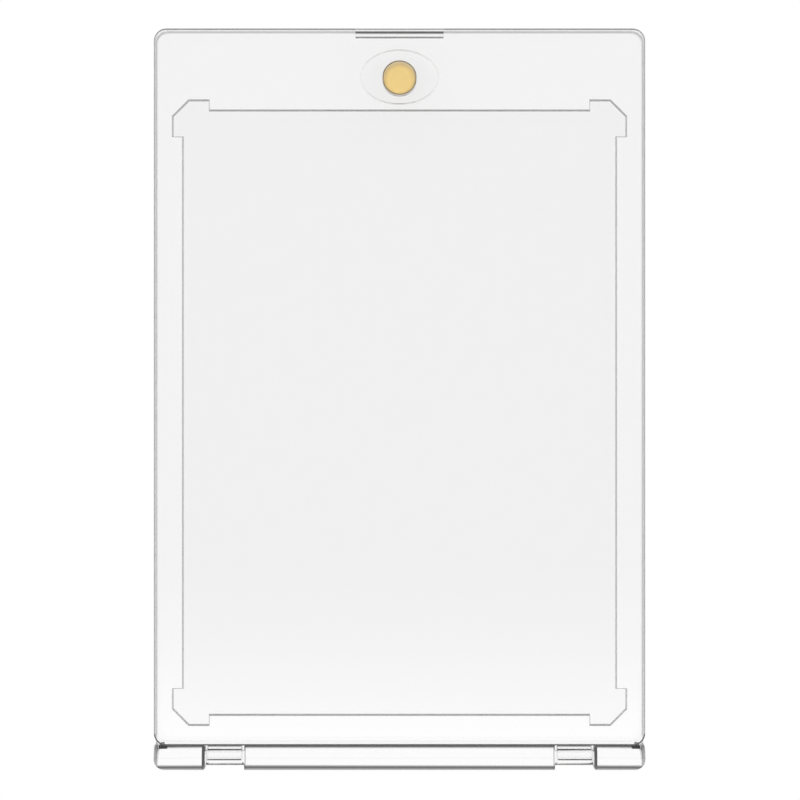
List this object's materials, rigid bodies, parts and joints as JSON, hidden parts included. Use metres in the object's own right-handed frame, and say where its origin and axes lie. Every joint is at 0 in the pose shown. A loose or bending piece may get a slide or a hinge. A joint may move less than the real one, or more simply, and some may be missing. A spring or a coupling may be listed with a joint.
{
  "type": "trading card display case",
  "caption": "Clear two-part card case with a recessed card pocket, gold disc magnets that hold it shut at the top, and a snap hinge along its bottom edge.",
  "frame": {"origin": "centre of the closed case's bounding box, on the plane of its flat back", "axes": "+X across the width, +Y towards the magnet end, away from the hinge, +Z out of the front face; the case lies on its back"},
  "size_m": [0.0724, 0.1096, 0.0066],
  "materials": {
    "clear_plastic": "clear, polished",
    "gold_plating": "gold plated",
    "clear_cap": "clear, polished"
  },
  "bodies": {
    "base": {"base_shell": "clear_plastic", "rear_magnet": "gold_plating", "rear_magnet_cap": "clear_cap"},
    "cover": {"front_cover": "clear_plastic", "front_magnet": "gold_plating", "front_magnet_cap": "clear_cap"}
  },
  "joints": [
    {"name": "cover_hinge", "type": "hinge", "parent": "base", "child": "cover", "pos_m": [0, -0.05294, 0.00474], "axis": [1, 0, 0], "range_deg": [0, 180]}
  ]
}
